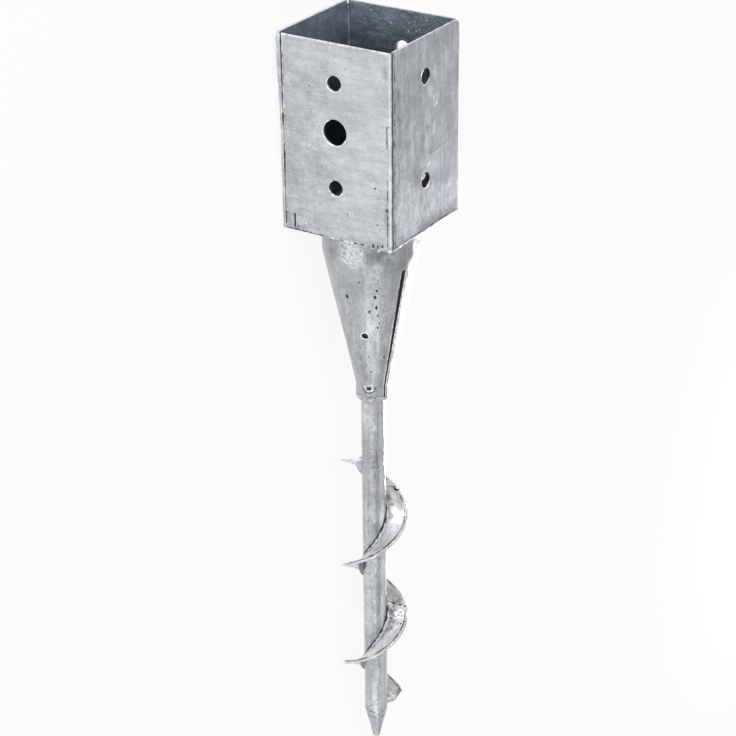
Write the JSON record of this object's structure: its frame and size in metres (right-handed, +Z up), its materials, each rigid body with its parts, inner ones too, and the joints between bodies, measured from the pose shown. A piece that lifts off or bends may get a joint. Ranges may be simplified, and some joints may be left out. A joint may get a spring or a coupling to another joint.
{
  "type": "ground screw",
  "caption": "Galvanised ground screw: a square socket for a 90 mm post on a slotted cone, with a pointed bar that carries a right-hand auger. It lies on its side.",
  "frame": {"origin": "on the floor under the middle of the whole object's box, as it lies", "axes": "+X along the screw from the socket towards the tip, +Y out of the back wall, +Z up, out of the wall that lies uppermost (right_wall); the screw's own axis dips 2.83 degrees below +X"},
  "size_m": [0.6318, 0.095, 0.1023],
  "materials": {
    "galvanised_sheet": "hot-dip zinc on sheet, satin, with faint vertical streaks and dark specks",
    "galvanised_tube": "hot-dip zinc, satin to bright",
    "galvanised_bar": "hot-dip zinc on a drawn bar, satin, finely pitted",
    "galvanised_blade": "hot-dip zinc on pressed plate, bright",
    "galvanised_weld": "zinc over weld beads, uneven, with dark pores"
  },
  "bodies": {
    "root": {"front_wall": "galvanised_sheet", "back_wall": "galvanised_sheet", "right_wall": "galvanised_sheet", "left_wall": "galvanised_sheet", "floor_plate": "galvanised_sheet", "front_corner_weld": "galvanised_weld", "left_corner_weld": "galvanised_weld", "right_corner_weld": "galvanised_weld", "back_corner_weld": "galvanised_weld", "floor_weld": "galvanised_weld", "cone": "galvanised_tube", "cone_weld": "galvanised_weld", "shaft": "galvanised_bar", "collar_weld": "galvanised_weld", "plug_weld": "galvanised_weld", "blade_upper": "galvanised_blade", "blade_middle": "galvanised_blade", "blade_lower": "galvanised_blade", "blade_weld_upper": "galvanised_weld", "blade_weld_middle": "galvanised_weld", "blade_weld_lower": "galvanised_weld"}
  },
  "joints": []
}
